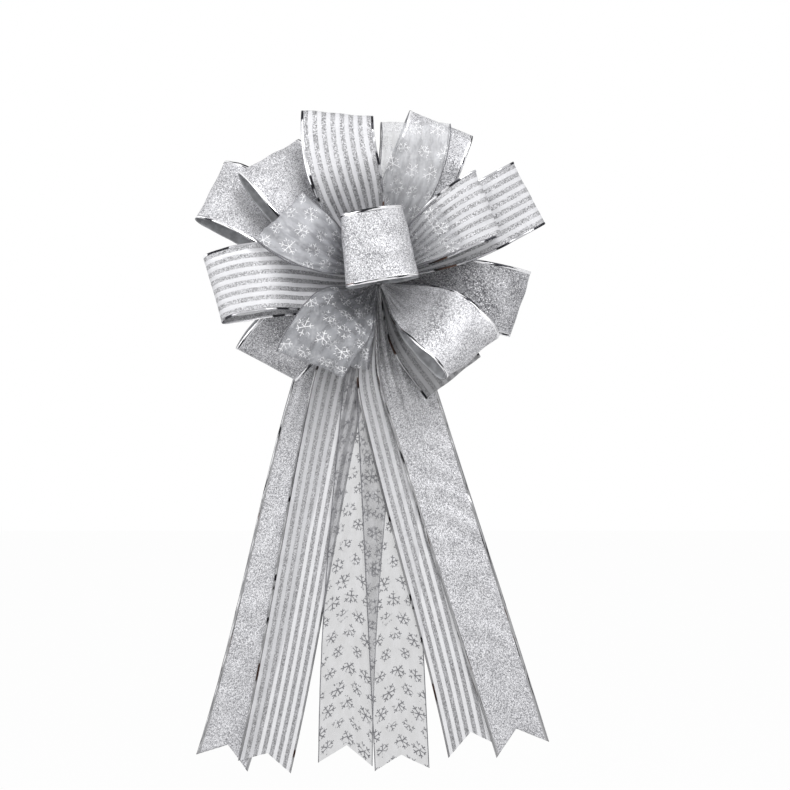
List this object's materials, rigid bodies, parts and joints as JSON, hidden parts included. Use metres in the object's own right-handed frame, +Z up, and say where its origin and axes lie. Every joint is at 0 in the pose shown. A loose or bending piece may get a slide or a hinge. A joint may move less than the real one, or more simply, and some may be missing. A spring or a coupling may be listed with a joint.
{
  "type": "gift bow",
  "caption": "Pre-made gift bow: a fan of glitter, striped and sheer snowflake ribbon loops round a standing centre loop, with swallow-tailed streamers hanging from the tied core.",
  "frame": {"origin": "middle of the gathered core's flat back, where the bow is tied on", "axes": "+Z up along the bow's height, +X to the right seen from the front, +Y out of the back towards what the bow is tied to; the front faces -Y"},
  "size_m": [0.4009, 0.1399, 0.7506],
  "materials": {
    "glitter_ribbon": "silver glitter with bright foil edges, matte grey reverse",
    "stripe_ribbon": "sheer white with silver glitter stripes lengthwise and foil edges",
    "snowflake_ribbon": "sheer pale grey organza with white glitter snowflakes",
    "gathered_ribbon": "dark pleated folds of the gathered ribbons",
    "wire": "plain bright wire"
  },
  "bodies": {
    "core": {"gathered_core": "gathered_ribbon", "tie_wire": "wire"},
    "glitter_centre": {"loop_glitter_centre": "glitter_ribbon"},
    "glitter_far_left": {"loop_glitter_far_left": "glitter_ribbon"},
    "glitter_top_right": {"loop_glitter_top_right": "glitter_ribbon"},
    "glitter_right": {"loop_glitter_right": "glitter_ribbon"},
    "glitter_upper_left": {"loop_glitter_upper_left": "glitter_ribbon"},
    "glitter_lower_left": {"loop_glitter_lower_left": "glitter_ribbon"},
    "glitter_lower_right": {"loop_glitter_lower_right": "glitter_ribbon"},
    "stripe_right_back": {"loop_stripe_right_back": "stripe_ribbon"},
    "stripe_right_front": {"loop_stripe_right_front": "stripe_ribbon"},
    "stripe_lower_right": {"loop_stripe_lower_right": "stripe_ribbon"},
    "stripe_left": {"loop_stripe_left": "stripe_ribbon"},
    "stripe_top": {"loop_stripe_top": "stripe_ribbon"},
    "snowflake_top_right": {"loop_snowflake_top_right": "snowflake_ribbon"},
    "snowflake_upper_left": {"loop_snowflake_upper_left": "snowflake_ribbon"},
    "snowflake_right": {"loop_snowflake_right": "snowflake_ribbon"},
    "snowflake_lower_left": {"loop_snowflake_lower_left": "snowflake_ribbon"},
    "snowflake_bottom": {"loop_snowflake_bottom": "snowflake_ribbon"},
    "tail_glitter_left": {"streamer_glitter_left": "glitter_ribbon"},
    "tail_stripe_left": {"streamer_stripe_left": "stripe_ribbon"},
    "tail_snowflake_left": {"streamer_snowflake_left": "snowflake_ribbon"},
    "tail_snowflake_right": {"streamer_snowflake_right": "snowflake_ribbon"},
    "tail_stripe_right": {"streamer_stripe_right": "stripe_ribbon"},
    "tail_glitter_right": {"streamer_glitter_right": "glitter_ribbon"},
    "wire_end_left": {"tie_wire_end_left": "wire"},
    "wire_end_right": {"tie_wire_end_right": "wire"}
  },
  "joints": [
    {"name": "glitter_centre_nod", "type": "hinge", "parent": "core", "child": "glitter_centre", "pos_m": [0, -0.0414, 0], "axis": [1, 0, 0], "range_deg": [-1, 3]},
    {"name": "glitter_far_left_fan", "type": "hinge", "parent": "core", "child": "glitter_far_left", "pos_m": [0, 0, 0], "axis": [0, 1, 0], "range_deg": [-8, 6]},
    {"name": "glitter_top_right_fan", "type": "hinge", "parent": "core", "child": "glitter_top_right", "pos_m": [0, 0, 0], "axis": [0, 1, 0], "range_deg": [-8, 5]},
    {"name": "glitter_right_fan", "type": "hinge", "parent": "core", "child": "glitter_right", "pos_m": [0, 0, 0], "axis": [0, 1, 0], "range_deg": [-2, 1.5]},
    {"name": "glitter_upper_left_fan", "type": "hinge", "parent": "core", "child": "glitter_upper_left", "pos_m": [0, 0, 0], "axis": [0, 1, 0], "range_deg": [-5, 8]},
    {"name": "glitter_lower_left_fan", "type": "hinge", "parent": "core", "child": "glitter_lower_left", "pos_m": [0, 0, 0], "axis": [0, 1, 0], "range_deg": [-8, 8]},
    {"name": "glitter_lower_right_fan", "type": "hinge", "parent": "core", "child": "glitter_lower_right", "pos_m": [0, 0, 0], "axis": [0, 1, 0], "range_deg": [-3, 2.5]},
    {"name": "stripe_right_back_fan", "type": "hinge", "parent": "core", "child": "stripe_right_back", "pos_m": [0, 0, 0], "axis": [0, 1, 0], "range_deg": [-1.5, 2]},
    {"name": "stripe_right_front_fan", "type": "hinge", "parent": "core", "child": "stripe_right_front", "pos_m": [0, 0, 0], "axis": [0, 1, 0], "range_deg": [-2.5, 1.2]},
    {"name": "stripe_lower_right_fan", "type": "hinge", "parent": "core", "child": "stripe_lower_right", "pos_m": [0, 0, 0], "axis": [0, 1, 0], "range_deg": [-1.5, 8]},
    {"name": "stripe_left_fan", "type": "hinge", "parent": "core", "child": "stripe_left", "pos_m": [0, 0, 0], "axis": [0, 1, 0], "range_deg": [-1.4, 4]},
    {"name": "stripe_top_fan", "type": "hinge", "parent": "core", "child": "stripe_top", "pos_m": [0, 0, 0], "axis": [0, 1, 0], "range_deg": [-1.8, 2.8]},
    {"name": "snowflake_top_right_fan", "type": "hinge", "parent": "core", "child": "snowflake_top_right", "pos_m": [0, 0, 0], "axis": [0, 1, 0], "range_deg": [-8, 2]},
    {"name": "snowflake_upper_left_fan", "type": "hinge", "parent": "core", "child": "snowflake_upper_left", "pos_m": [0, 0, 0], "axis": [0, 1, 0], "range_deg": [-6, 1.8]},
    {"name": "snowflake_right_fan", "type": "hinge", "parent": "core", "child": "snowflake_right", "pos_m": [0, 0, 0], "axis": [0, 1, 0], "range_deg": [-1.5, 8]},
    {"name": "snowflake_lower_left_fan", "type": "hinge", "parent": "core", "child": "snowflake_lower_left", "pos_m": [0, 0, 0], "axis": [0, 1, 0], "range_deg": [-6, 1.2]},
    {"name": "snowflake_bottom_fan", "type": "hinge", "parent": "core", "child": "snowflake_bottom", "pos_m": [0, 0, 0], "axis": [0, 1, 0], "range_deg": [-2.5, 4]},
    {"name": "tail_glitter_left_swing", "type": "hinge", "parent": "core", "child": "tail_glitter_left", "pos_m": [0, 0, 0], "axis": [0, 1, 0], "range_deg": [-12, 12]},
    {"name": "tail_stripe_left_swing", "type": "hinge", "parent": "core", "child": "tail_stripe_left", "pos_m": [0, 0, 0], "axis": [0, 1, 0], "range_deg": [-12, 12]},
    {"name": "tail_snowflake_left_swing", "type": "hinge", "parent": "core", "child": "tail_snowflake_left", "pos_m": [0, 0, 0], "axis": [0, 1, 0], "range_deg": [-12, 12]},
    {"name": "tail_snowflake_right_swing", "type": "hinge", "parent": "core", "child": "tail_snowflake_right", "pos_m": [0, 0, 0], "axis": [0, 1, 0], "range_deg": [-12, 12]},
    {"name": "tail_stripe_right_swing", "type": "hinge", "parent": "core", "child": "tail_stripe_right", "pos_m": [0, 0, 0], "axis": [0, 1, 0], "range_deg": [-12, 12]},
    {"name": "tail_glitter_right_swing", "type": "hinge", "parent": "core", "child": "tail_glitter_right", "pos_m": [0, 0, 0], "axis": [0, 1, 0], "range_deg": [-12, 12]},
    {"name": "wire_end_left_bend", "type": "hinge", "parent": "core", "child": "wire_end_left", "pos_m": [-0.00366, -0.0015, -0.00822], "axis": [0, 1, 0], "range_deg": [-20, 30]},
    {"name": "wire_end_right_bend", "type": "hinge", "parent": "core", "child": "wire_end_right", "pos_m": [0.00366, -0.0015, -0.00822], "axis": [0, 1, 0], "range_deg": [-30, 20]}
  ]
}
